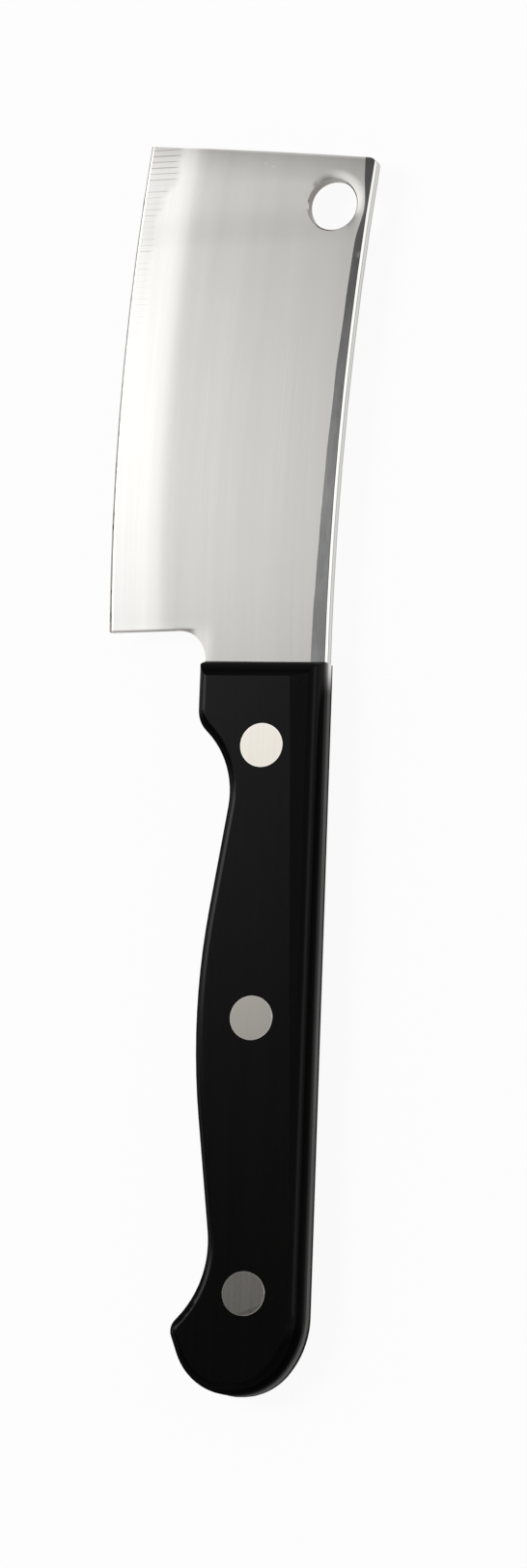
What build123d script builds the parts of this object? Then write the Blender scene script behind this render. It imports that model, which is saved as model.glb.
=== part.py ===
from build123d import *
from math import asin, atan2, degrees, radians, sqrt, tan
import os

# A small full-tang cleaver that lies on its lower handle scale.
# X points to the spine, Y to the tip of the blade, Z up.
# The origin is on the middle rivet's axis, in the plane the handle rests on.

# ---- sizes, in millimetres and degrees ----

blade_thickness = 2.5
scale_thickness = 3.2
middle_z = scale_thickness + blade_thickness / 2
handle_height = 2 * scale_thickness + blade_thickness

# front of the handle, where the blade leaves it
spine_x = 9.4
guard_x = -10.6
front_spine_y = 55.8
front_belly_y = 56.25

# arcs of the blade: furthest point (x, y) and radius
edge_arc = (-27.2, 75.0, 469.0)
spine_arc = (spine_x, front_spine_y, 568.0)
band_arc = (6.6, 43.7, 604.0)

# ends of the blade
heel_y = 61.35
heel_choil_y = 61.65
heel_corner_radius = 0.4
choil_radius = 5.0
tip_edge_y = 139.3
tip_spine_y = 135.7
tip_bow = 0.16
tip_corner_radius = 1.2

# grinds, the same on both sides of the blade
taper_angle = 1.45
thinning_angle = 3.1
thinning_edge_thickness = 0.28
thinning_shift = 7.0
bevel_angle = 20.0
bevel_inset = 0.05
runout_gap = 0.05
runout_radius = 0.6
runout_depth = 0.55
spine_ease = 0.3

# hole near the tip, for hanging
hole_centre = (7.9, 128.5)
hole_diameter = 8.0
hole_ease = 0.2

# handle outline: each corner as x, y and the radius that rounds it
front_spine = (spine_x, front_spine_y, 0)
front_belly = (guard_x, front_belly_y, 0.9)
guard = (guard_x, 46.4, 4.5)
finger_notch = (-4.16, 39.86, 13.7)
belly = (-10.34, 1.02, 116.8)
waist = (-5.34, -40.6, 16.4)
beak = (-12.15, -47.65, 2.4)
butt_left = (-8.35, -58.0, 9.6)
butt_right = (3.35, -58.0, 9.6)
butt_spine = (9.1, -50.2, 14.0)
belly_corners = [guard, finger_notch, belly, waist, beak, butt_left]
butt_corners = [butt_right, butt_spine]

# Rounding of the handle scales. The rounded corner along the front, spine and butt
# sits a little above the flat face, more so at the butt, so it ends in a crisp line.
spine_rounding = 3.1
belly_rounding = 1.4
front_lift = 0.03
butt_lift = 0.28
butt_lift_y = -50.0
shoulder_angle = 2.0
shoulder_front_x = 4.4
shoulder_rear_x = 7.9
shoulder_rear_y = -50.0

# cutlery rivets: a headed shank pressed into a headed tube
rivet_pitch = 42.5
outer_rivet_x = 0.2
rivet_head_diameter = 7.05
rivet_head_height = 1.4
rivet_head_ease = 0.1
rivet_tube_diameter = 4.6
rivet_shank_diameter = 3.0
rivet_shank_taper = 0.4
rivet_end_gap = 0.4
rivet_hole_diameter = 4.7
rivet_places = {
    "front": (outer_rivet_x, rivet_pitch),
    "middle": (0.0, 0.0),
    "rear": (outer_rivet_x, -rivet_pitch),
}

# how far the cutting shapes reach past the metal
reach = 60.0


# ---- outlines ----


def arc_point(arc, y):
    """The point at height y on an arc that bulges towards -X."""
    x_out, y_out, radius = arc
    return (x_out + radius - sqrt(radius**2 - (y - y_out) ** 2), y)


def rounded_outline(corners):
    """A flat face through the corners, each one rounded to its own radius."""
    points = [(x, y) for x, y, radius in corners]
    radii = [radius for x, y, radius in corners]
    return make_face(FilletPolyline(*points, radius=radii, close=True))


def round_corner(face, x, y, radius):
    return fillet(face.vertices().sort_by_distance((x, y))[0], radius)


def blade_outline():
    """The flat blank: blade, neck and full tang."""
    heel = arc_point(edge_arc, heel_y)
    tip_edge = arc_point(edge_arc, tip_edge_y)
    tip_spine = arc_point(spine_arc, tip_spine_y)
    tip_middle = ((tip_edge[0] + tip_spine[0]) / 2, (tip_edge_y + tip_spine_y) / 2 + tip_bow)
    spine_middle = arc_point(spine_arc, (front_spine_y + tip_spine_y) / 2)
    choil = (guard_x, heel_choil_y)
    neck_foot = (guard_x, guard[1] + guard[2])
    edges = [
        ThreePointArc(heel, edge_arc[:2], tip_edge),
        ThreePointArc(tip_edge, tip_middle, tip_spine),
        ThreePointArc(tip_spine, spine_middle, front_spine[:2]),
        Line(front_spine[:2], neck_foot),
        Line(neck_foot, choil),
        Line(choil, heel),
    ]
    face = make_face(edges)
    face = round_corner(face, *tip_spine, tip_corner_radius)
    face = round_corner(face, *heel, heel_corner_radius)
    face = round_corner(face, *choil, choil_radius)
    square_front = [front_spine, (guard_x, front_belly_y, 0)]
    return face + rounded_outline(square_front + belly_corners + butt_corners)


# ---- blade ----


def cone_cut(arc, height, angle, start_y):
    """The space above a shallow cone through an arc, from start_y to past the tip."""
    x_out, y_out, radius = arc
    rise = reach * tan(radians(angle))
    profile = Polyline(
        (-(radius - reach), height + rise),
        (-(radius + reach), height - rise),
        (-(radius + reach), height + rise),
        close=True,
    )
    ring = revolve(Plane.XZ * make_face(profile), Axis.Z, -20)
    start_angle = degrees(asin((y_out - start_y) / radius))
    return Pos(x_out + radius, y_out, 0) * Rot(0, 0, start_angle) * ring


def runout_space():
    """Where the taper may cut: it stops in a small fillet just in front of the handle."""
    length = sqrt(runout_radius**2 - (runout_radius - runout_depth) ** 2)
    start = (runout_gap, blade_thickness / 2)
    deepest = (runout_gap + length, blade_thickness / 2 - runout_depth)
    middle_drop = runout_radius - sqrt(runout_radius**2 - (length / 2) ** 2)
    curve = ThreePointArc(start, (runout_gap + length / 2, deepest[1] + middle_drop), deepest)
    far_y = tip_edge_y + reach
    around = Polyline(
        deepest, (deepest[0], 0), (far_y, 0), (far_y, blade_thickness),
        (runout_gap, blade_thickness), start,
    )
    space = extrude(Plane.YZ * make_face([curve] + around.edges()), reach, both=True)
    front_angle = degrees(atan2(front_belly_y - front_spine_y, guard_x - spine_x)) - 180
    return Pos(*front_spine[:2]) * Rot(0, 0, front_angle) * space


def spine_edge_cut():
    """The thin corner eased off along the spine of the blade."""
    x_out, y_out, radius = spine_arc
    top = blade_thickness / 2
    profile = Polyline(
        (-(radius - spine_ease), top + spine_ease),
        (-(radius - spine_ease), top - 2 * spine_ease),
        (-(radius + 2 * spine_ease), top + spine_ease),
        close=True,
    )
    ring = revolve(Plane.XZ * make_face(profile), Axis.Z, -20)
    return Pos(x_out + radius, y_out, 0) * ring


def build_blade():
    blank = extrude(blade_outline(), blade_thickness / 2, both=True)
    x_out, y_out, radius = edge_arc
    thinning_arc = (x_out, y_out - thinning_shift, radius)
    bevel_arc = (x_out + bevel_inset, y_out, radius)
    heel_start = heel_y - heel_corner_radius
    taper = cone_cut(band_arc, blade_thickness / 2, taper_angle, guard[1]) & runout_space()
    thinning = cone_cut(thinning_arc, thinning_edge_thickness / 2, thinning_angle, heel_start)
    bevel = cone_cut(bevel_arc, 0, bevel_angle, heel_start)
    blade = blank
    for cut in (taper, thinning, bevel, spine_edge_cut()):
        blade -= cut
        blade -= mirror(cut, Plane.XY)

    blade -= Pos(*hole_centre) * Cylinder(hole_diameter / 2, 2 * blade_thickness)
    axis = Edge.make_line((*hole_centre, -reach), (*hole_centre, reach))
    near = blade.edges().filter_by(lambda e: axis.distance_to(e @ 0.5) < hole_diameter / 2 + 0.1)
    blade = chamfer(near.filter_by(GeomType.LINE, reverse=True), hole_ease)
    for x, y in rivet_places.values():
        blade -= Pos(x, y) * Cylinder(rivet_hole_diameter / 2, 2 * blade_thickness)
    return Pos(0, 0, middle_z) * blade


# ---- handle scales ----


def rounded_back():
    """A block with the rounded front, spine and butt, but open towards the belly."""
    far_x = guard_x - reach
    front_slope = (front_belly_y - front_spine_y) / (guard_x - spine_x)
    far_front = (far_x, front_spine_y + front_slope * (far_x - spine_x), 0)
    far_butt = (far_x, butt_right[1], 0)
    block = extrude(rounded_outline([front_spine, far_front, far_butt] + butt_corners), reach)
    rise = (butt_lift - front_lift) / (front_spine_y - butt_lift_y)
    top = Plane((0, front_spine_y, scale_thickness + front_lift), (1, 0, 0), (0, rise, 1))
    block = split(block, top, keep=Keep.BOTTOM)
    edges = block.faces().sort_by(Axis.Z)[-1].edges()
    return fillet(edges.filter_by(lambda e: (e @ 0.5).X > far_x + 1), spine_rounding)


def rounded_belly():
    """A block with the rounded belly, longer than the handle at the front."""
    past_y = front_belly_y + reach / 4
    corners = [(spine_x, past_y, 0), (guard_x, past_y, 0)] + belly_corners + butt_corners
    block = extrude(rounded_outline(corners), scale_thickness)
    edges = block.faces().sort_by(Axis.Z)[-1].edges()
    return fillet(edges.filter_by(lambda e: (e @ 0.5).Y < past_y - 1), belly_rounding)


def build_scale():
    """One handle scale, outer face up, its inner face on the blade's plane."""
    outline = rounded_outline([front_spine, front_belly] + belly_corners + butt_corners)
    scale = extrude(outline, scale_thickness) & rounded_back() & rounded_belly()

    slope = tan(radians(shoulder_angle))
    lean = (shoulder_rear_x - shoulder_front_x) / (front_spine_y - shoulder_rear_y)
    start = (shoulder_front_x, front_spine_y, scale_thickness)
    shoulder = Plane(start, (1, 0, 0), (slope, slope * lean, 1))
    scale = split(scale, shoulder, keep=Keep.BOTTOM)

    for x, y in rivet_places.values():
        scale -= Pos(x, y) * Cylinder(rivet_hole_diameter / 2, 3 * scale_thickness)
        scale -= Pos(x, y, scale_thickness) * Cylinder(rivet_head_diameter / 2, 2 * rivet_head_height)
    return Pos(0, 0, middle_z + blade_thickness / 2) * scale


# ---- rivets ----


def build_rivet_male():
    """Head flush in the upper scale, tapered shank down into the tube."""
    head = Pos(0, 0, -rivet_head_height / 2) * Cylinder(rivet_head_diameter / 2, rivet_head_height)
    head = chamfer(head.edges().sort_by(Axis.Z)[-1], rivet_head_ease)
    length = handle_height - 2 * rivet_head_height - rivet_end_gap
    shank = Pos(0, 0, -rivet_head_height - length / 2) * Cylinder(rivet_shank_diameter / 2, length)
    shank = chamfer(shank.edges().sort_by(Axis.Z)[0], rivet_shank_taper)
    return Pos(0, 0, handle_height) * (head + shank)


def build_rivet_female():
    """Head flush in the lower scale, with the tube that takes the shank."""
    head = Pos(0, 0, rivet_head_height / 2) * Cylinder(rivet_head_diameter / 2, rivet_head_height)
    head = chamfer(head.edges().sort_by(Axis.Z)[0], rivet_head_ease)
    length = handle_height - 2 * rivet_head_height - rivet_end_gap
    tube = Cylinder(rivet_tube_diameter / 2, length) - Cylinder(rivet_shank_diameter / 2, length)
    return head + Pos(0, 0, rivet_head_height + length / 2) * tube


# ---- build and save ----

upper_scale = build_scale()
pieces = {
    "blade": build_blade(),
    "handle_scale_upper": upper_scale,
    "handle_scale_lower": mirror(upper_scale, Plane.XY.offset(middle_z)),
}
for place, (x, y) in rivet_places.items():
    pieces["rivet_male_" + place] = Pos(x, y) * build_rivet_male()
    pieces["rivet_female_" + place] = Pos(x, y) * build_rivet_female()

os.makedirs("parts", exist_ok=True)
for name, piece in pieces.items():
    piece.label = name
    export_step(piece, "parts/" + name + ".step")
    print(name, "volume", round(piece.volume, 1))
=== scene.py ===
import math

import bpy
from mathutils import Matrix, Vector

# A small full-tang cleaver lying on its lower handle scale.
# X points to the spine, Y to the tip of the blade, Z up, in metres.

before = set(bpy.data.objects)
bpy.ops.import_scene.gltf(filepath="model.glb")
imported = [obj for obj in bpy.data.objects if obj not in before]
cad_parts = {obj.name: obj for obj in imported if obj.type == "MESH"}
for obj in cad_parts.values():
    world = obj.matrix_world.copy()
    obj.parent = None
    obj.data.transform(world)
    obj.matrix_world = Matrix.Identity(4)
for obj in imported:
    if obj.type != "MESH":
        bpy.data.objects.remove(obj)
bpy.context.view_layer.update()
print("loaded the packed cleaver:", len(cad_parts), "pieces")


def addNode(tree, kind, **settings):
    node = tree.nodes.new(kind)
    for name, value in settings.items():
        setattr(node, name, value)
    return node


def feed(tree, socket, value):
    # a socket takes a link, or a plain value of its own
    if isinstance(value, bpy.types.NodeSocket):
        tree.links.new(value, socket)
    elif socket.type == "RGBA" and len(value) == 3:
        socket.default_value = (*value, 1.0)
    else:
        socket.default_value = value


def addNodeWith(tree, kind, value, **settings):
    node = addNode(tree, kind, **settings)
    feed(tree, node.inputs[0], value)
    return node


def calc(tree, operation, a, b=None, c=None, clamp=False):
    node = addNode(tree, "ShaderNodeMath", operation=operation, use_clamp=clamp)
    for socket, value in zip(node.inputs, (a, b, c)):
        if value is not None:
            feed(tree, socket, value)
    return node.outputs[0]


def vectorCalc(tree, operation, a, b=None, output="Vector"):
    node = addNode(tree, "ShaderNodeVectorMath", operation=operation)
    feed(tree, node.inputs[0], a)
    if b is not None:
        feed(tree, node.inputs[1], b)
    return node.outputs[output]


def lengthOf(tree, vector):
    return vectorCalc(tree, "LENGTH", vector, output="Value")


def dot(tree, a, b):
    return vectorCalc(tree, "DOT_PRODUCT", a, b, output="Value")


def flatAway(tree, position, place):
    # from a place on the part to the point, seen from above
    away = vectorCalc(tree, "SUBTRACT", position, (*place, 0.0))
    return vectorCalc(tree, "MULTIPLY", away, (1, 1, 0))


def ramp(tree, value, start, end, low=0.0, high=1.0):
    # eases from low to high while value goes from start to end
    node = addNode(tree, "ShaderNodeMapRange", interpolation_type="SMOOTHSTEP")
    settings = {"Value": value, "From Min": start, "From Max": end, "To Min": low, "To Max": high}
    for name, given in settings.items():
        feed(tree, node.inputs[name], given)
    return node.outputs["Result"]


def fall(tree, value, start, end):
    return ramp(tree, value, start, end, 1.0, 0.0)


def product(tree, *factors):
    total = factors[0]
    for factor in factors[1:]:
        total = calc(tree, "MULTIPLY", total, factor)
    return total


def mixColour(tree, share, first, second):
    node = addNode(tree, "ShaderNodeMix", data_type="RGBA")
    feed(tree, node.inputs[0], share)
    feed(tree, node.inputs[6], first)
    feed(tree, node.inputs[7], second)
    return node.outputs[2]


def mixValue(tree, share, first, second):
    node = addNode(tree, "ShaderNodeMix", data_type="FLOAT")
    feed(tree, node.inputs[0], share)
    feed(tree, node.inputs[2], first)
    feed(tree, node.inputs[3], second)
    return node.outputs[0]


def split(tree, vector):
    return addNodeWith(tree, "ShaderNodeSeparateXYZ", vector).outputs


def combine(tree, x, y, z):
    node = addNode(tree, "ShaderNodeCombineXYZ")
    for socket, value in zip(node.inputs, (x, y, z)):
        feed(tree, socket, value)
    return node.outputs[0]


def scaleColour(tree, colour, factor):
    node = addNode(tree, "ShaderNodeVectorMath", operation="SCALE")
    feed(tree, node.inputs["Vector"], colour)
    feed(tree, node.inputs["Scale"], factor)
    return node.outputs["Vector"]


def newGroup(name, inputs, outputs):
    tree = bpy.data.node_groups.new(name, "ShaderNodeTree")
    for label, kind, value in inputs:
        socket = tree.interface.new_socket(label, in_out="INPUT", socket_type="NodeSocket" + kind)
        if value is not None:
            socket.default_value = value
    for label, kind in outputs:
        tree.interface.new_socket(label, in_out="OUTPUT", socket_type="NodeSocket" + kind)
    given = tree.nodes.new("NodeGroupInput").outputs
    return tree, given, tree.nodes.new("NodeGroupOutput").inputs


def placeGroup(tree, group, values):
    node = addNode(tree, "ShaderNodeGroup", node_tree=group)
    for name, value in values.items():
        feed(tree, node.inputs[name], value)
    return node.outputs


def newMaterial(name):
    material = bpy.data.materials.new(name)
    material.use_nodes = True
    tree = material.node_tree
    return material, tree, tree.nodes["Principled BSDF"].inputs


def bump(tree, heightInMillimetres, surface):
    node = addNode(tree, "ShaderNodeBump")
    node.inputs["Strength"].default_value = 1.0
    node.inputs["Distance"].default_value = 0.001          # one millimetre
    feed(tree, node.inputs["Height"], heightInMillimetres)
    feed(tree, surface["Normal"], node.outputs["Normal"])


def makeArcDistance():
    # how far a point lies inside a circle seen from above, in metres
    tree, given, out = newGroup(
        "distance inside arc",
        [("Position", "Vector", None), ("Centre", "Vector", (0, 0, 0)), ("Radius", "Float", 1.0)],
        [("Distance", "Float")])
    away = vectorCalc(tree, "SUBTRACT", given["Position"], given["Centre"])
    flat = vectorCalc(tree, "MULTIPLY", away, (1, 1, 0))
    feed(tree, out["Distance"], calc(tree, "SUBTRACT", given["Radius"], lengthOf(tree, flat)))
    return tree


def makeStreaks():
    # long soft streaks left by a polishing wheel, about -1 to 1
    tree, given, out = newGroup(
        "polishing streaks",
        [("Vector", "Vector", None), ("Spacing", "Float", 0.001), ("Length", "Float", 0.05),
         ("Detail", "Float", 3.0)],
        [("Streaks", "Float")])
    size = combine(tree, given["Spacing"], given["Length"], given["Length"])
    noise = addNodeWith(tree, "ShaderNodeTexNoise",
                        vectorCalc(tree, "DIVIDE", given["Vector"], size))
    noise.inputs["Scale"].default_value = 1.0
    feed(tree, noise.inputs["Detail"], given["Detail"])
    feed(tree, out["Streaks"], calc(tree, "MULTIPLY_ADD", noise.outputs["Fac"], 4.0, -2.0))
    return tree


def makeScratches():
    # straight scratches in rows: each cell along a row may hold one
    tree, given, out = newGroup(
        "straight scratches",
        [("Vector", "Vector", None), ("Angle", "Float", 0.0), ("Spacing", "Float", 0.001),
         ("Length", "Float", 0.01), ("Width", "Float", 0.0001), ("Share", "Float", 0.5)],
        [("Scratches", "Float")])
    turned = addNode(tree, "ShaderNodeVectorRotate", rotation_type="Z_AXIS")
    feed(tree, turned.inputs["Vector"], given["Vector"])
    feed(tree, turned.inputs["Angle"], given["Angle"])
    place = split(tree, turned.outputs[0])
    across = calc(tree, "DIVIDE", place["Y"], given["Spacing"])
    row = calc(tree, "FLOOR", across)
    rowNoise = addNode(tree, "ShaderNodeTexWhiteNoise", noise_dimensions="1D")
    feed(tree, rowNoise.inputs["W"], row)
    shift = calc(tree, "MULTIPLY", rowNoise.outputs["Value"], 9.0)          # rows start apart
    along = calc(tree, "ADD", calc(tree, "DIVIDE", place["X"], given["Length"]), shift)
    cell = combine(tree, row, calc(tree, "FLOOR", along), 0.0)
    cellNoise = addNodeWith(tree, "ShaderNodeTexWhiteNoise", cell, noise_dimensions="2D")
    chance = split(tree, cellNoise.outputs["Color"])
    middle = calc(tree, "MULTIPLY_ADD", chance["X"], 0.7, 0.15)
    apart = calc(tree, "ABSOLUTE", calc(tree, "SUBTRACT", calc(tree, "FRACT", across), middle))
    line = fall(tree, calc(tree, "MULTIPLY", apart, given["Spacing"]), 0.0, given["Width"])
    part = calc(tree, "FRACT", along)
    first = calc(tree, "MULTIPLY", chance["Y"], 0.4)
    fadeIn = ramp(tree, calc(tree, "SUBTRACT", part, first), 0.0, 0.15)
    fadeOut = fall(tree, part, 0.7, 1.0)
    there = calc(tree, "LESS_THAN", chance["Z"], given["Share"])
    strength = calc(tree, "MULTIPLY_ADD", cellNoise.outputs["Value"], 0.7, 0.3)
    feed(tree, out["Scratches"], product(tree, line, fadeIn, fadeOut, there, strength))
    return tree


arcDistance, streaks, scratches = makeArcDistance(), makeStreaks(), makeScratches()
print("made the shared shader groups")


blade = {
    # colours and how rough each surface is
    "faceColour": (0.60, 0.588, 0.565), "faceRoughness": 0.11,
    "thinColour": (0.67, 0.665, 0.65), "thinRoughness": 0.12,
    "bandColour": (0.80, 0.81, 0.80), "bandRoughness": 0.10,
    "bevelColour": (0.44, 0.41, 0.385), "bevelRoughness": 0.3, "bevelSpeckShare": 0.35,
    "easeColour": (0.92, 0.91, 0.89), "easeRoughness": 0.12,
    "spineColour": (0.80, 0.79, 0.77), "sideRoughness": 0.25,
    # the tang's two colours are a painted reflection and a painted shade
    "tangLitColour": (0.92, 0.90, 0.87), "tangShadedColour": (0.16, 0.155, 0.15),
    # the hole's wall and rim colours are painted shade inside the hole
    "holeWallShadeColour": (0.24, 0.215, 0.195), "holeRimShadeColour": (0.42, 0.39, 0.37),
    # pale steel paints a highlight along the bevel's shoulder, and also the band's patch and the
    # neck's pale strip
    "paleSteelColour": (0.95, 0.95, 0.93), "heelColour": (0.13, 0.10, 0.085),
    # the dark colour serves a scuff and the painted shade above the heel
    "markColour": (0.25, 0.21, 0.185), "scuffAndShadeColour": (0.10, 0.09, 0.08),
    "hairlineColour": (0.9, 0.9, 0.9), "speckColour": (0.95, 0.95, 0.94),

    # arcs of the grinds, as furthest point and radius, and the slopes between them
    "edgeArc": (-0.0272, 0.0750, 0.469),
    "thinArc": (-0.0272, 0.0680, 0.469),
    "bandArc": (0.0066, 0.0437, 0.604),
    "spineArc": (0.0094, 0.0558, 0.568),
    "middleZ": 0.00445, "halfThickness": 0.00125, "edgeHalfThickness": 0.00014, "ease": 0.0003,
    "taperSlope": math.tan(math.radians(1.45)), "thinSlope": math.tan(math.radians(3.1)),
    "bevelSlope": math.tan(math.radians(20)),
    "blendWidth": 0.0028,                                  # how far thinning and taper blend

    # how level a surface is where it counts as the face, and how upright as a side
    "faceTurn": (0.85, 0.90), "sideTurn": (0.12, 0.20),

    # the flat band along the spine: its edge wanders, dips by the hole and flares at the tip
    "bandWave": 0.00016, "bandWaveScale": 75.0,
    "bandRagged": 0.0001, "bandRaggedScale": 900.0, "bandRaggedReach": (0.0009, 0.0016),
    "bandDip": (0.1278, 0.0055, 0.0007), "bandFlare": (0.1305, 0.1390, 0.0008),
    "bandTipStretch": (0.075, 0.130), "bandTipShare": 0.43,
    "bandPatch": (0.0127, 0.1203), "bandPatchReach": (0.0009, 0.0008), "bandPatchShare": 0.8,
    "bandLine": (0.00006, 0.00009), "bandLineShare": 0.75, # dark line where the band meets the ease

    # tip, neck and heel
    "tipLine": ((-0.0227, 0.1393), (0.0127, 0.1357)),
    "tipRollWidth": 0.0045, "tipRollSlope": 0.016,         # buffed-down strip along the tip
    "handleFront": 0.0560,
    "neckX": -0.0106, "neckPaleWidth": 0.0016, "neckPaleStretch": (0.0590, 0.0635),
    "neckPaleShare": 0.35,
    "heelY": 0.0615, "heelLineWidth": 0.00035, "heelLineEnd": (-0.0135, -0.0120),
    "heelLineShare": 0.7,
    "heelBox": (-0.005, 0.0625),                           # the heel is left of and below this

    # hole, with a rim that is buffed down on one side
    "hole": (0.0079, 0.1285), "holeRadius": 0.004, "holeRim": 0.0004,
    "holeRollWidth": 0.0018, "holeRollSlope": 0.055,
    "holeRollSide": (0.8, 0.6, 0.0), "holeRollStretch": (-0.1, 0.7),

    # polishing streaks, and how much they change the colour and the roughness
    "fineStreaks": {"Spacing": 0.0009, "Length": 0.05, "Detail": 4.0}, "fineTone": 0.022,
    "broadStreaks": {"Spacing": 0.005, "Length": 0.09, "Detail": 3.0}, "broadTone": 0.045,
    "streakRoughness": 0.012,

    # scratches, specks, a scuff and a painted shade by the heel, and how strongly each shows
    "hairlines": {"Angle": math.pi / 2, "Spacing": 0.004, "Length": 0.035, "Width": 0.00012,
                  "Share": 0.3},
    "hairlineShare": 0.13,
    "bandNicks": {"Angle": math.pi / 2 - 0.03, "Spacing": 0.0004, "Length": 0.006,
                  "Width": 0.00007, "Share": 0.45},
    "bandNickShare": 0.35,
    "specks": ((-0.0034, 0.1357), (-0.0021, 0.1351)), "speckRadius": 0.00018, "speckShare": 0.7,
    "scuff": (0.0050, 0.1318), "scuffReach": (0.0007, 0.0009), "scuffShare": 0.5,
    # a painted shade along the heel, where the surface rolls down
    "heelShadeX": (-0.0150, 0.0022), "heelShadeFadeIn": (0.0596, 0.0610), "heelShadeShare": 0.22,
    "heelShadeFadeOut": (-0.0001, 0.0009),                     # from the heel

    # uneven polish on the band, pits in the bevel and grain on the tang
    "patchStretch": (1.0, 0.45, 1.0), "patchScale": 260.0, "patchEdge": (0.35, 0.7),
    "patchTone": (0.22, 0.89), "patchRelief": 0.0008,
    "pitStretch": (1.0, 0.5, 1.0), "pitScale": 1500.0, "pitEdge": (0.52, 0.72),
    "grainStretch": (1, 0.1, 1), "grainScale": 900.0, "grainTone": (0.4, 0.8),

    # lines from the thinning wheel: where they are, how they fade and how much they vary
    "grindingTop": 0.13578, "grindingPitch": 0.0009565, "grindingEnd": 0.1085,
    "grindingFull": 0.134, "grindingFaint": 0.12,          # full here, faint at the end
    "grindingReach": 0.0031, "grindingTip": (0.130, 0.1335), "grindingTipReach": 0.0020,
    "grindingVary": 0.0008, "grindingFade": 0.0012, "grindingWidth": 0.00009,
    "grindingShare": 0.6, "grindingDepth": 0.002,
    "groundFade": (-0.0014, 0.0004), "groundStart": 0.112, "groundShare": 0.13,

    # line along the sides, and how far up the tang turns to painted shade
    "sideLine": (0.00030, 0.00022), "sideLineShare": 0.7, "tangShadeStretch": (-0.0002, 0.0007),
}


def bladeArc(tree, position, arc):
    x, y, radius = arc
    values = {"Position": position, "Centre": (x + radius, y, 0.0), "Radius": radius}
    return placeGroup(tree, arcDistance, values)["Distance"]


def makeGrindingLines(tree, y, edgeIn):
    # a row of fine lines across the blade, left by the thinning wheel near the tip
    row = calc(tree, "DIVIDE", calc(tree, "SUBTRACT", blade["grindingTop"], y),
               blade["grindingPitch"])
    number = calc(tree, "ROUND", row)
    chance = addNode(tree, "ShaderNodeTexWhiteNoise", noise_dimensions="1D")
    feed(tree, chance.inputs["W"], calc(tree, "ADD", number, 0.37))
    strength, length, width = split(tree, chance.outputs["Color"])

    # each line has a width, a length and a depth of its own
    apart = calc(tree, "ABSOLUTE", calc(tree, "SUBTRACT", row, number))
    apart = calc(tree, "MULTIPLY", apart, blade["grindingPitch"])
    wide = calc(tree, "MULTIPLY_ADD", width, blade["grindingWidth"], blade["grindingWidth"])
    line = fall(tree, apart, 0.0, wide)
    reach = ramp(tree, y, *blade["grindingTip"], 0.0, blade["grindingTipReach"])
    reach = calc(tree, "ADD", reach, blade["grindingReach"])
    reach = calc(tree, "MULTIPLY_ADD", length, blade["grindingVary"], reach)
    past = calc(tree, "SUBTRACT", edgeIn, reach)
    depth = calc(tree, "MULTIPLY_ADD", calc(tree, "POWER", strength, 1.5), 0.85, 0.15)
    full, faint = blade["grindingFull"], blade["grindingFaint"]
    lines = product(tree, line, depth, fall(tree, past, -blade["grindingFade"], 0.0),
                    ramp(tree, y, blade["grindingEnd"], full, faint, 1.0),
                    calc(tree, "GREATER_THAN", y, blade["grindingEnd"]))
    zone = calc(tree, "MULTIPLY", fall(tree, past, *blade["groundFade"]),
                ramp(tree, y, blade["groundStart"], full))
    return lines, zone


def bell(tree, value, centre, reach):
    # 1 at the centre, easing to 0 at the reach on either side
    away = calc(tree, "ABSOLUTE", calc(tree, "SUBTRACT", value, centre))
    return fall(tree, away, 0.0, reach)


def spot(tree, x, y, centre, reach):
    return calc(tree, "MULTIPLY", bell(tree, x, centre[0], reach[0]),
                bell(tree, y, centre[1], reach[1]))


def rollOff(tree, distance, width, slope):
    # height lost in millimetres where a buffed edge rolls down over its width
    into = calc(tree, "SUBTRACT", width, calc(tree, "MAXIMUM", distance, 0.0))
    into = calc(tree, "MAXIMUM", into, 0.0)
    steepness = -1000.0 * slope / (2 * width)
    return calc(tree, "MULTIPLY", calc(tree, "MULTIPLY", into, into), steepness)


def noiseAlong(tree, vector, scale, detail=2.0, dimensions="3D"):
    node = addNode(tree, "ShaderNodeTexNoise", noise_dimensions=dimensions)
    feed(tree, node.inputs["W" if dimensions == "1D" else "Vector"], vector)
    node.inputs["Scale"].default_value = scale
    node.inputs["Detail"].default_value = detail
    return node.outputs["Fac"]


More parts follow.
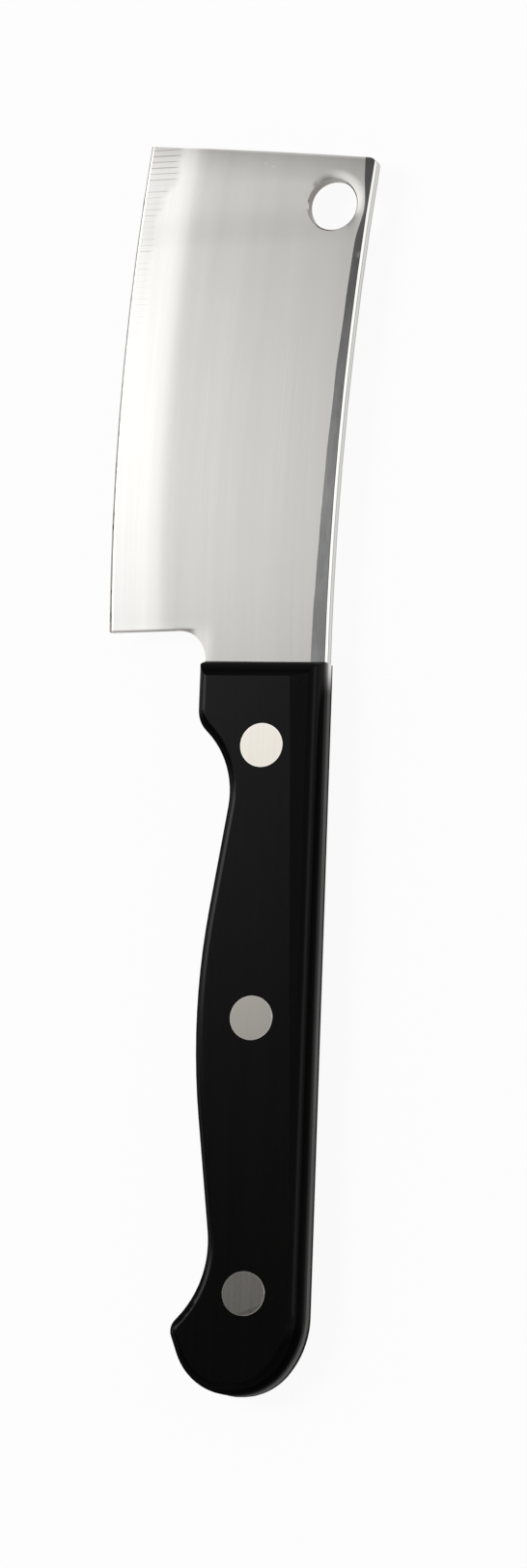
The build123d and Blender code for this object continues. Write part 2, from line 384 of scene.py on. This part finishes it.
def makeBladeSteel():
    material, tree, surface = newMaterial("satin blade steel")
    coordinates = addNode(tree, "ShaderNodeTexCoord").outputs
    position = coordinates["Object"]
    x, y, z = split(tree, position)
    facing = calc(tree, "ABSOLUTE", split(tree, coordinates["Normal"])["Z"])
    edgeIn = bladeArc(tree, position, blade["edgeArc"])
    thinIn = bladeArc(tree, position, blade["thinArc"])
    bandIn = bladeArc(tree, position, blade["bandArc"])
    spineIn = calc(tree, "MULTIPLY", bladeArc(tree, position, blade["spineArc"]), -1.0)
    along = combine(tree, edgeIn, y, z)

    # which kind of surface this is
    isFace = ramp(tree, facing, *blade["faceTurn"])
    isSide = fall(tree, facing, *blade["sideTurn"])
    isBlade = ramp(tree, y, blade["handleFront"] - 0.0004, blade["handleFront"])

    # heights of the three grinds above the middle of the blade
    taperHeight = calc(tree, "MULTIPLY_ADD", bandIn, blade["taperSlope"], blade["halfThickness"])
    thinHeight = calc(tree, "MULTIPLY_ADD", thinIn, blade["thinSlope"], blade["edgeHalfThickness"])
    bevelHeight = calc(tree, "MULTIPLY", edgeIn, blade["bevelSlope"])
    blend = blade["blendWidth"] * (blade["thinSlope"] - blade["taperSlope"])
    onThin = fall(tree, calc(tree, "SUBTRACT", thinHeight, taperHeight), -blend, blend)
    pastBevel = calc(tree, "SUBTRACT", bevelHeight, thinHeight)
    onBevel = fall(tree, pastBevel, -0.00001, 0.00001)
    # a bright line along the bevel's shoulder: a burr, with a painted highlight on it
    burrAndHighlightLine = fall(tree, pastBevel, 0.00005, 0.00010)

    # the band's edge was ground by hand
    wander = noiseAlong(tree, y, blade["bandWaveScale"], 1.0, "1D")
    wave = calc(tree, "MULTIPLY_ADD", wander, 2 * blade["bandWave"], -blade["bandWave"])
    dipPlace, dipReach, dipDepth = blade["bandDip"]
    wave = calc(tree, "MULTIPLY_ADD", bell(tree, y, dipPlace, dipReach), -dipDepth, wave)
    flareStart, flareEnd, flareWidth = blade["bandFlare"]
    wave = calc(tree, "MULTIPLY_ADD", ramp(tree, y, flareStart, flareEnd), flareWidth, wave)
    wavyIn = calc(tree, "ADD", bandIn, wave)
    ragged = calc(tree, "MULTIPLY_ADD", noiseAlong(tree, along, blade["bandRaggedScale"]),
                  2 * blade["bandRagged"], -blade["bandRagged"])
    nearBand = fall(tree, calc(tree, "ABSOLUTE", bandIn), *blade["bandRaggedReach"])
    raggedIn = calc(tree, "ADD", wavyIn, calc(tree, "MULTIPLY", ragged, nearBand))
    onBand = calc(tree, "MULTIPLY", ramp(tree, raggedIn, -0.00004, 0.00004), isBlade)
    bandShift = calc(tree, "SUBTRACT", calc(tree, "MINIMUM", wavyIn, 0.0),
                     calc(tree, "MINIMUM", bandIn, 0.0))

    # distances in from the tip, the hole and the neck
    (ax, ay), (bx, by) = blade["tipLine"]
    length = math.hypot(bx - ax, by - ay)
    inward = ((by - ay) / length, -(bx - ax) / length, 0.0)
    tipIn = dot(tree, vectorCalc(tree, "SUBTRACT", position, (ax, ay, 0.0)), inward)
    holeAway = flatAway(tree, position, blade["hole"])
    holeIn = calc(tree, "SUBTRACT", lengthOf(tree, holeAway), blade["holeRadius"])
    holeSide = dot(tree, vectorCalc(tree, "NORMALIZE", holeAway), blade["holeRollSide"])
    neckIn = calc(tree, "SUBTRACT", x, blade["neckX"])

    # streaks, scratches and specks
    fine = placeGroup(tree, streaks, {"Vector": along, **blade["fineStreaks"]})["Streaks"]
    broad = placeGroup(tree, streaks, {"Vector": along, **blade["broadStreaks"]})["Streaks"]
    grinding, ground = makeGrindingLines(tree, y, edgeIn)
    grinding = calc(tree, "MULTIPLY", grinding, isFace)
    hairlines = placeGroup(tree, scratches, {"Vector": along, **blade["hairlines"]})["Scratches"]
    bandNicks = placeGroup(tree, scratches, {"Vector": along, **blade["bandNicks"]})["Scratches"]
    nicks = 0.0
    for speck in blade["specks"]:
        away = lengthOf(tree, flatAway(tree, position, speck))
        near = fall(tree, away, 0.0, blade["speckRadius"])
        nicks = calc(tree, "MAXIMUM", near, nicks)
    stretched = vectorCalc(tree, "MULTIPLY", along, blade["patchStretch"])
    patches = ramp(tree, noiseAlong(tree, stretched, blade["patchScale"], 3.0), *blade["patchEdge"])
    stretched = vectorCalc(tree, "MULTIPLY", along, blade["pitStretch"])
    pits = ramp(tree, noiseAlong(tree, stretched, blade["pitScale"]), *blade["pitEdge"])

    # dark marks: a scuff beside the hole, and a painted shade along the heel where the surface
    # rolls down
    scuff = spot(tree, x, y, blade["scuff"], blade["scuffReach"])
    heelShadeStart, heelShadeEnd = (blade["heelY"] + shift for shift in blade["heelShadeFadeOut"])
    heelShade = product(tree, bell(tree, x, *blade["heelShadeX"]),
                    fall(tree, y, heelShadeStart, heelShadeEnd),
                    ramp(tree, y, *blade["heelShadeFadeIn"]))
    scuffAndShade = calc(tree, "MAXIMUM", calc(tree, "MULTIPLY", scuff, blade["scuffShare"]),
                calc(tree, "MULTIPLY", heelShade, blade["heelShadeShare"]))

    # colour of the face and the band
    colour = mixColour(tree, onThin, blade["faceColour"], blade["thinColour"])
    bandTip = tuple(blade["bandTipShare"] * c for c in blade["bandColour"])
    band = mixColour(tree, ramp(tree, y, *blade["bandTipStretch"]), blade["bandColour"], bandTip)
    band = scaleColour(tree, band, calc(tree, "MULTIPLY_ADD", patches, *blade["patchTone"]))
    patch = spot(tree, x, y, blade["bandPatch"], blade["bandPatchReach"])
    patch = calc(tree, "MULTIPLY", patch, blade["bandPatchShare"])
    band = mixColour(tree, patch, band, blade["paleSteelColour"])
    colour = mixColour(tree, onBand, colour, band)
    tone = calc(tree, "MULTIPLY_ADD", fine, blade["fineTone"], 1.0)
    colour = scaleColour(tree, colour, calc(tree, "MULTIPLY_ADD", broad, blade["broadTone"], tone))

    # marks on them
    mark = calc(tree, "MULTIPLY", hairlines, blade["hairlineShare"])
    colour = mixColour(tree, mark, colour, blade["hairlineColour"])
    mark = product(tree, nicks, isFace, blade["speckShare"])
    colour = mixColour(tree, mark, colour, blade["speckColour"])
    mark = product(tree, bandNicks, onBand, blade["bandNickShare"])
    colour = mixColour(tree, mark, colour, blade["markColour"])
    dimmer = calc(tree, "MULTIPLY_ADD", ground, -blade["groundShare"], 1.0)
    colour = scaleColour(tree, colour, dimmer)
    mark = calc(tree, "MULTIPLY", grinding, blade["grindingShare"])
    colour = mixColour(tree, mark, colour, blade["markColour"])
    neckPale = product(tree, fall(tree, neckIn, 0.0, blade["neckPaleWidth"]),
                       fall(tree, y, *blade["neckPaleStretch"]), blade["neckPaleShare"])
    colour = mixColour(tree, neckPale, colour, blade["paleSteelColour"])
    # the strip above the heel is painted shade, and the spot beside the hole a scuff
    colour = mixColour(tree, scuffAndShade, colour, blade["scuffAndShadeColour"])

    # lines where the grinds end
    lineShift, lineReach = blade["bandLine"]
    bandEnd = product(tree, bell(tree, spineIn, blade["ease"] + lineShift, lineReach),
                      isFace, isBlade, blade["bandLineShare"])
    colour = mixColour(tree, bandEnd, colour, blade["heelColour"])
    # the shoulder's line is partly a burr and partly a painted highlight
    colour = mixColour(tree, product(tree, burrAndHighlightLine, isFace), colour, blade["paleSteelColour"])
    heelEnd = blade["heelY"] + blade["heelLineWidth"]
    heelLine = product(tree, fall(tree, y, blade["heelY"], heelEnd),
                       fall(tree, x, *blade["heelLineEnd"]), blade["heelLineShare"])
    colour = mixColour(tree, heelLine, colour, blade["heelColour"])
    pitted = tuple(blade["bevelSpeckShare"] * c for c in blade["bevelColour"])
    bevel = mixColour(tree, pits, blade["bevelColour"], pitted)
    colour = mixColour(tree, onBevel, colour, bevel)

    # colour of the eased corners
    # the hole's eased rim is painted darker: painted shade
    atHole = calc(tree, "LESS_THAN", holeIn, blade["holeRim"])
    eased = mixColour(tree, atHole, blade["easeColour"], blade["holeRimShadeColour"])
    colour = mixColour(tree, calc(tree, "SUBTRACT", 1.0, isFace), colour, eased)

    # colour of the sides, the tang and the hole's wall
    rise = calc(tree, "SUBTRACT", z, blade["middleZ"])
    lineShift, lineReach = blade["sideLine"]
    sideLine = bell(tree, calc(tree, "ABSOLUTE", rise),
                    blade["halfThickness"] - blade["ease"] - lineShift, lineReach)
    sideLine = calc(tree, "MULTIPLY", sideLine, blade["sideLineShare"])
    side = mixColour(tree, sideLine, blade["spineColour"], blade["heelColour"])
    heelX, heelTop = blade["heelBox"]
    isHeel = calc(tree, "MULTIPLY", calc(tree, "LESS_THAN", y, heelTop),
                  calc(tree, "LESS_THAN", x, heelX))
    side = mixColour(tree, isHeel, side, blade["heelColour"])
    # the tang is painted bright low down and dark higher up: a painted reflection and a painted
    # shade
    tang = mixColour(tree, ramp(tree, rise, *blade["tangShadeStretch"]), blade["tangLitColour"],
                     blade["tangShadedColour"])
    stretched = vectorCalc(tree, "MULTIPLY", position, blade["grainStretch"])
    grain = noiseAlong(tree, stretched, blade["grainScale"])
    tang = scaleColour(tree, tang, calc(tree, "MULTIPLY_ADD", grain, *blade["grainTone"]))
    side = mixColour(tree, isBlade, tang, side)
    # the hole's wall is painted dark: painted shade
    side = mixColour(tree, atHole, side, blade["holeWallShadeColour"])
    feed(tree, surface["Base Color"], mixColour(tree, isSide, colour, side))
    surface["Metallic"].default_value = 1.0

    # gloss
    rough = calc(tree, "MULTIPLY_ADD", fine, blade["streakRoughness"], blade["faceRoughness"])
    rough = mixValue(tree, onThin, rough, blade["thinRoughness"])
    rough = mixValue(tree, onBand, rough, blade["bandRoughness"])
    rough = mixValue(tree, onBevel, rough, blade["bevelRoughness"])
    rough = mixValue(tree, isFace, blade["easeRoughness"], rough)
    rough = mixValue(tree, isSide, rough, blade["sideRoughness"])
    feed(tree, surface["Roughness"], rough)

    # relief, in millimetres
    sharp = calc(tree, "MINIMUM", thinHeight, taperHeight)
    soft = calc(tree, "SMOOTH_MIN", thinHeight, taperHeight, blend)
    relief = calc(tree, "MULTIPLY", calc(tree, "SUBTRACT", soft, sharp), 1000.0)
    relief = calc(tree, "MULTIPLY_ADD", bandShift, 1000.0 * blade["taperSlope"], relief)
    relief = calc(tree, "ADD", relief,
                  rollOff(tree, tipIn, blade["tipRollWidth"], blade["tipRollSlope"]))
    holeRoll = rollOff(tree, holeIn, blade["holeRollWidth"], blade["holeRollSlope"])
    rolled = ramp(tree, holeSide, *blade["holeRollStretch"])
    relief = calc(tree, "MULTIPLY_ADD", holeRoll, rolled, relief)
    patches = calc(tree, "MULTIPLY", patches, onBand)
    relief = calc(tree, "MULTIPLY_ADD", patches, blade["patchRelief"], relief)
    relief = calc(tree, "MULTIPLY_ADD", grinding, -blade["grindingDepth"], relief)
    relief = calc(tree, "MULTIPLY", relief, calc(tree, "MULTIPLY", isFace, isBlade))
    bump(tree, relief, surface)
    return material


handle = {
    "colour": (0.0012, 0.0012, 0.0012), "paleColour": (0.0019, 0.0019, 0.0018),
    "roughness": 0.13, "sideRoughness": 0.2, "roughTurn": (0.2, 0.7),
    "gloss": 0.43, "sideGloss": 0.13, "glossTurn": (0.90, 0.995),
    "endGlossShare": 0.18, "endTurn": (0.03, 0.2),         # duller towards both ends
    "wiping": {"Spacing": 0.0008, "Length": 0.02, "Detail": 3.0},
    "wipingRoughness": 0.012, "wipingRelief": 0.0002,
    "scuffs": {"Angle": 1.35, "Spacing": 0.0015, "Length": 0.012, "Width": 0.00004, "Share": 0.12},
    "scuffDepth": 0.0005,
}


def makeHandlePlastic():
    material, tree, surface = newMaterial("polished black plastic")
    coordinates = addNode(tree, "ShaderNodeTexCoord").outputs
    position = coordinates["Object"]
    normal = split(tree, coordinates["Normal"])
    facing = calc(tree, "ABSOLUTE", normal["Z"])
    clouds = noiseAlong(tree, position, 90.0, 4.0)
    colour = mixColour(tree, clouds, handle["colour"], handle["paleColour"])
    feed(tree, surface["Base Color"], colour)
    wiping = placeGroup(tree, streaks, {"Vector": position, **handle["wiping"]})["Streaks"]
    rough = ramp(tree, facing, *handle["roughTurn"], handle["sideRoughness"], handle["roughness"])
    rough = calc(tree, "MULTIPLY_ADD", wiping, handle["wipingRoughness"], rough)
    feed(tree, surface["Roughness"], rough)
    scuffs = placeGroup(tree, scratches, {"Vector": position, **handle["scuffs"]})["Scratches"]
    relief = calc(tree, "MULTIPLY", wiping, handle["wipingRelief"])
    bump(tree, calc(tree, "MULTIPLY_ADD", scuffs, -handle["scuffDepth"], relief), surface)
    gloss = ramp(tree, facing, *handle["glossTurn"], handle["sideGloss"], handle["gloss"])
    turned = calc(tree, "ABSOLUTE", normal["Y"])
    ends = ramp(tree, turned, *handle["endTurn"], 1.0, handle["endGlossShare"])
    feed(tree, surface["Specular IOR Level"], calc(tree, "MULTIPLY", gloss, ends))
    return material


rivets = {
    "colour": (0.70, 0.665, 0.605), "roughness": 0.14,
    "lines": {"Spacing": 0.0004, "Length": 0.02, "Detail": 3.0},
    "lineTone": 0.03, "lineRoughness": 0.015,
    # the rim colour is a painted highlight round the head's eased edge
    "rimHighlightColour": (0.90, 0.87, 0.82), "rimRadius": 0.00345, "rimWidth": 0.00022,
    "centre": {"front": (0.0002, 0.0425), "middle": (0.0, 0.0), "rear": (0.0002, -0.0425)},
    # how the ground face of each head leans, as slopes along X and Y
    "lean": {"front": (0.055, -0.01), "middle": (0.024, -0.01), "rear": (0.0, -0.02)},
    # darker beyond a slanted line: a point on it, the way across it and the colour's share
    "shade": {"rear": ((-0.00087, -0.0457), (0.391, -0.92), 0.78)},
    "shadeEdge": (-0.00005, 0.00020),
}


def makeRivetSteel(place):
    material, tree, surface = newMaterial("ground rivet steel " + place)
    position = addNode(tree, "ShaderNodeTexCoord").outputs["Object"]
    lines = placeGroup(tree, streaks, {"Vector": position, **rivets["lines"]})["Streaks"]
    away = lengthOf(tree, flatAway(tree, position, rivets["centre"][place]))
    tone = calc(tree, "MULTIPLY_ADD", lines, rivets["lineTone"], 1.0)
    colour = scaleColour(tree, rivets["colour"], tone)
    if place in rivets["shade"]:
        start, across, share = rivets["shade"][place]
        beyond = vectorCalc(tree, "SUBTRACT", position, (*start, 0.0))
        beyond = dot(tree, beyond, (*across, 0.0))
        colour = scaleColour(tree, colour, ramp(tree, beyond, *rivets["shadeEdge"], 1.0, share))
    # a bright ring painted round the head: a painted highlight on its eased rim
    rimHighlight = bell(tree, away, rivets["rimRadius"], rivets["rimWidth"])
    feed(tree, surface["Base Color"], mixColour(tree, rimHighlight, colour, rivets["rimHighlightColour"]))
    surface["Metallic"].default_value = 1.0
    rough = calc(tree, "MULTIPLY_ADD", lines, rivets["lineRoughness"], rivets["roughness"])
    feed(tree, surface["Roughness"], rough)
    leanX, leanY = rivets["lean"][place]
    bump(tree, dot(tree, position, (1000 * leanX, 1000 * leanY, 0.0)), surface)
    return material


bladeSteel, handlePlastic = makeBladeSteel(), makeHandlePlastic()
rivetSteel = {place: makeRivetSteel(place) for place in rivets["lean"]}
for name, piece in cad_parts.items():
    if name == "blade":
        piece.material_slots[0].material = bladeSteel
    elif name.startswith("handle"):
        piece.material_slots[0].material = handlePlastic
    else:
        piece.material_slots[0].material = rivetSteel[name.split("_")[-1]]
print("gave every piece its material")


studio = {
    "floorSize": 40.0, "floorZ": -0.00005, "floorColour": (0.8, 0.8, 0.8), "floorGlow": 0.93,
    # what the steel and plastic see in the floor beside the handle and beside the blade; dim beside
    # the handle as a painted shadow
    "floorDimGlow": 0.09, "floorBrightGlow": 0.8, "floorGlowEdge": (0.0515, 0.0565),

    # Places in the sky are given by the direction's own X, Y and Z,
    # or by how far it leans left and towards the blade's tip for its height.
    "lowest": 0.02, "darkLevel": 0.015,

    # softbox up to the left: a faint strip, a step for the face and one for the thinning
    "stripLevel": 0.23, "stripY": (0.065, 0.19), "stripLeft": (0.17, 0.33),
    "faceLevel": 1.10, "faceLeft": (0.325, 0.40),
    "thinLevel": 0.38, "thinLeft": (0.402, 0.472),
    "boxStartY": (0.09, 0.18), "boxEndY": (0.27, 0.42), "boxZ": (0.38, 0.48),
    "fadeFace": (0.19, 0.40), "fadeThin": (0.25, 0.44),    # how it fades towards the tip
    "fadeChange": (0.42, 0.47), "fadeStop": (0.8, 1.2),

    # pale dome, darkened by a cloth overhead and by a thinner one beside the handle
    "horizonLevel": 0.75, "domeLevel": 0.42, "domeZ": (0.05, 0.85),
    "clothStartX": (-0.98, -0.88), "clothEndX": (-0.22, -0.10),
    "clothStartY": (-0.42, -0.20), "clothEndY": (0.38, 0.55), "clothZ": (0.44, 0.56),
    "thinClothShare": 0.45, "thinClothStartY": (-0.12, -0.02), "thinClothEndY": (0.150, 0.175),

    # low white card to the right, which the eased corner of the spine shows
    "cardLevel": 0.8, "cardX": (0.6, 0.8), "cardStartY": (0.02, 0.06), "cardEndY": (0.30, 0.45),
    "cardStartZ": (0.18, 0.26), "cardEndZ": (0.44, 0.54),

    "lampPlace": (-1.6, 0.5, 2.2), "lampSize": 1.2, "lampPower": 45.0,
    "aim": (-0.00068, 0.03705, 0.00445), "slope": (0.33, -0.151), "distance": 1.117,
    "roll": 1.9, "lens": 165.07,
}


def makeFloor():
    half, z = studio["floorSize"] / 2, studio["floorZ"]
    corners = [(-half, -half, z), (half, -half, z), (half, half, z), (-half, half, z)]
    mesh = bpy.data.meshes.new("floor")
    mesh.from_pydata(corners, [], [(0, 1, 2, 3)])
    floor = bpy.data.objects.new("floor", mesh)
    bpy.context.collection.objects.link(floor)
    material = bpy.data.materials.new("pale floor")
    material.use_nodes = True
    tree = material.node_tree
    tree.nodes.clear()
    plain = addNode(tree, "ShaderNodeBsdfDiffuse")
    feed(tree, plain.inputs["Color"], studio["floorColour"])

    # it glows for the camera and in reflections, and takes the shadow as plain paint
    rays = addNode(tree, "ShaderNodeLightPath").outputs
    y = split(tree, addNode(tree, "ShaderNodeTexCoord").outputs["Object"])["Y"]
    reflected = calc(tree, "ADD", rays["Is Glossy Ray"], rays["Is Transmission Ray"])
    # dimmer beside the handle: a painted shadow of the handle in the reflections
    level = ramp(tree, y, *studio["floorGlowEdge"], studio["floorDimGlow"],
                 studio["floorBrightGlow"])
    strength = calc(tree, "MULTIPLY_ADD", reflected, level, rays["Is Camera Ray"])
    glow = addNode(tree, "ShaderNodeEmission")
    feed(tree, glow.inputs["Strength"], strength)
    share = calc(tree, "MULTIPLY_ADD", rays["Is Camera Ray"], studio["floorGlow"], reflected)
    mix = addNode(tree, "ShaderNodeMixShader")
    for socket, value in zip(mix.inputs, (share, plain.outputs[0], glow.outputs[0])):
        feed(tree, socket, value)
    output = addNode(tree, "ShaderNodeOutputMaterial")
    feed(tree, output.inputs["Surface"], mix.outputs[0])
    mesh.materials.append(material)


def makeWorld():
    world = bpy.data.worlds.new("studio")
    bpy.context.scene.world = world
    world.use_nodes = True
    tree = world.node_tree
    x, y, z = split(tree, addNode(tree, "ShaderNodeTexCoord").outputs["Generated"])
    height = calc(tree, "MAXIMUM", z, studio["lowest"])
    left = calc(tree, "DIVIDE", calc(tree, "MULTIPLY", x, -1.0), height)
    far = calc(tree, "DIVIDE", y, height)

    # softbox
    fade = fall(tree, far, *studio["fadeFace"])
    strip = product(tree, ramp(tree, y, *studio["stripY"]), ramp(tree, left, *studio["stripLeft"]),
                    fade)
    fade = mixValue(tree, ramp(tree, left, *studio["fadeChange"]), fade,
                    fall(tree, far, *studio["fadeThin"]))
    fade = mixValue(tree, ramp(tree, left, *studio["fadeStop"]), fade, 1.0)
    box = calc(tree, "MULTIPLY", ramp(tree, left, *studio["faceLeft"]), studio["faceLevel"])
    box = calc(tree, "MULTIPLY_ADD", ramp(tree, left, *studio["thinLeft"]), studio["thinLevel"],
               box)
    box = product(tree, box, ramp(tree, y, *studio["boxStartY"]), fall(tree, y, *studio["boxEndY"]),
                  ramp(tree, z, *studio["boxZ"]), fade)

    # dome and cloths
    dome = ramp(tree, z, *studio["domeZ"], studio["horizonLevel"], studio["domeLevel"])
    cloth = product(tree, ramp(tree, x, *studio["clothStartX"]),
                    fall(tree, x, *studio["clothEndX"]), ramp(tree, y, *studio["clothStartY"]),
                    fall(tree, y, *studio["clothEndY"]), ramp(tree, z, *studio["clothZ"]))
    thinCloth = product(tree, ramp(tree, x, *studio["clothEndX"]),
                        ramp(tree, y, *studio["thinClothStartY"]),
                        fall(tree, y, *studio["thinClothEndY"]))
    cloth = calc(tree, "MULTIPLY_ADD", thinCloth, studio["thinClothShare"], cloth, clamp=True)
    dome = calc(tree, "MULTIPLY", dome, calc(tree, "SUBTRACT", 1.0, cloth))

    # card
    card = product(tree, ramp(tree, x, *studio["cardX"]), ramp(tree, y, *studio["cardStartY"]),
                   fall(tree, y, *studio["cardEndY"]), ramp(tree, z, *studio["cardStartZ"]),
                   fall(tree, z, *studio["cardEndZ"]))

    level = calc(tree, "MULTIPLY_ADD", strip, studio["stripLevel"], studio["darkLevel"])
    level = calc(tree, "ADD", box, level)
    level = calc(tree, "ADD", dome, level)
    level = calc(tree, "MULTIPLY_ADD", card, studio["cardLevel"], level)
    feed(tree, tree.nodes["Background"].inputs["Strength"], level)
    tree.nodes["Background"].inputs["Color"].default_value = (1, 1, 1, 1)


def makeLamp():
    # lights the floor and the plastic evenly, and stays out of the reflections
    light = bpy.data.lights.new("overhead lamp", "AREA")
    light.size = studio["lampSize"]
    light.energy = studio["lampPower"]
    lamp = bpy.data.objects.new("overhead lamp", light)
    lamp.location = studio["lampPlace"]
    lamp.rotation_mode = "QUATERNION"
    lamp.rotation_quaternion = Vector(studio["lampPlace"]).to_track_quat("Z", "Y")
    lamp.visible_glossy = False
    bpy.context.collection.objects.link(lamp)


def makeCamera():
    camera = bpy.data.objects.new("camera", bpy.data.cameras.new("camera"))
    camera.data.lens = studio["lens"]
    camera.data.sensor_width = 36.0
    camera.data.clip_start, camera.data.clip_end = 0.05, 100.0
    back = Vector((*studio["slope"], 1.0)).normalized()
    right = Vector((0, 1, 0)).cross(back).normalized()
    up = back.cross(right)
    turn = math.radians(studio["roll"])
    cosine, sine = math.cos(turn), math.sin(turn)
    right, up = (right * cosine + up * sine, up * cosine - right * sine)
    camera.matrix_world = (Matrix.Translation(Vector(studio["aim"]) + back * studio["distance"])
                           @ Matrix((right, up, back)).transposed().to_4x4())
    bpy.context.collection.objects.link(camera)
    bpy.context.scene.camera = camera


makeFloor()
makeWorld()
makeLamp()
makeCamera()
bpy.context.scene.view_settings.view_transform = "Standard"
print("set up the floor, the light and the camera")
